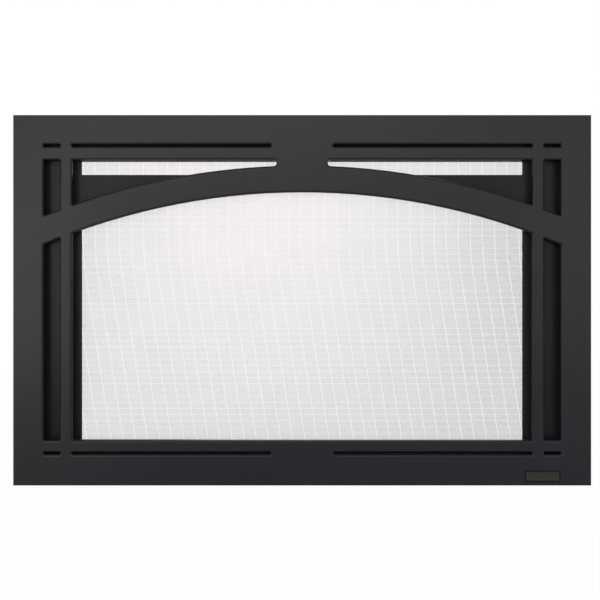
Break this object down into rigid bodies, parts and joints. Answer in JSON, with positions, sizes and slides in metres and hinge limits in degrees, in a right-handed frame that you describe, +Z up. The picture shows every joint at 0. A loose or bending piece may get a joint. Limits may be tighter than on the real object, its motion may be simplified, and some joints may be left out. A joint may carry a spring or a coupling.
{
  "type": "fireplace screen front",
  "caption": "Flat black cast iron fireplace front with a broad arch and crossing bars over a steel panel and fine wire mesh, hung by hooks and held by magnets.",
  "frame": {"origin": "middle of the bottom edge of the face plate, half way through the depth of the whole part", "axes": "+X to the right of someone facing the front, +Y towards the firebox, +Z up"},
  "size_m": [1, 0.0562, 0.641],
  "materials": {
    "face_black": "satin black stove paint on cast iron",
    "frame_black": "smooth satin black paint",
    "mesh_wire": "bright drawn steel wire",
    "zinc_plate": "zinc plated",
    "black_screw": "black phosphate",
    "magnet_nickel": "nickel plated magnet",
    "badge_metal": "blank badge, dull brushed field inside a black lacquered rim"
  },
  "bodies": {
    "root": {"face_plate": "face_black", "rail_left": "frame_black", "rail_right": "frame_black", "rail_top": "frame_black", "rail_bottom": "frame_black", "screen_panel": "frame_black", "mesh_retainer_top": "frame_black", "mesh_retainer_bottom": "frame_black", "mesh_retainer_left": "frame_black", "mesh_retainer_right": "frame_black", "mesh_retainer_middle": "frame_black", "hanger_hook_left": "frame_black", "hanger_hook_right": "frame_black", "mesh_screen": "mesh_wire", "face_studs": "zinc_plate", "face_nuts": "zinc_plate", "arch_studs": "zinc_plate", "arch_spacers": "zinc_plate", "arch_nuts": "zinc_plate", "panel_rivets": "zinc_plate", "hook_rivets": "zinc_plate", "magnet_cups": "zinc_plate", "magnet_screws": "zinc_plate", "magnet_nuts": "zinc_plate", "retainer_screws": "black_screw", "magnet_rings": "magnet_nickel", "name_badge": "badge_metal"}
  },
  "joints": []
}
